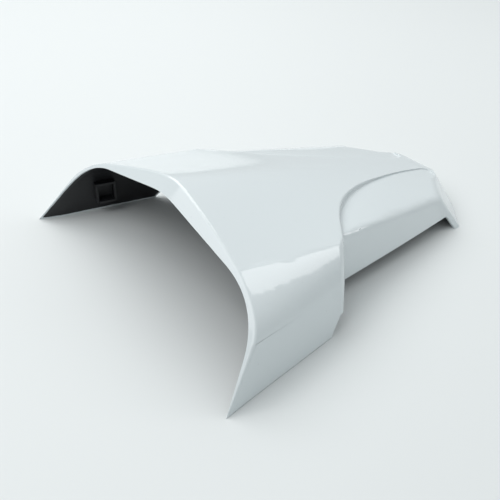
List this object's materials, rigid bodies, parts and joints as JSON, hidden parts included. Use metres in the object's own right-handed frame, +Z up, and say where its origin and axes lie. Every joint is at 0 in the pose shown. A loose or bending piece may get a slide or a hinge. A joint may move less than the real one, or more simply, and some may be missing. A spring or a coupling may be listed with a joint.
{
  "type": "motorcycle tail fairing",
  "caption": "One-piece moulded tail fairing: arched crown with drooping side wings, open front arch, stepped narrow tail with a blunt rear wall, open underneath.",
  "frame": {"origin": "centre of the base: on the floor plane under the middle of the shell", "axes": "+Y from the front arch to the tail, +Z up, X across the shell, which is mirrored about X = 0"},
  "size_m": [0.27, 0.3024, 0.0788],
  "materials": {
    "painted_abs": "gloss"
  },
  "bodies": {
    "root": {"tail_fairing": "painted_abs"}
  },
  "joints": []
}
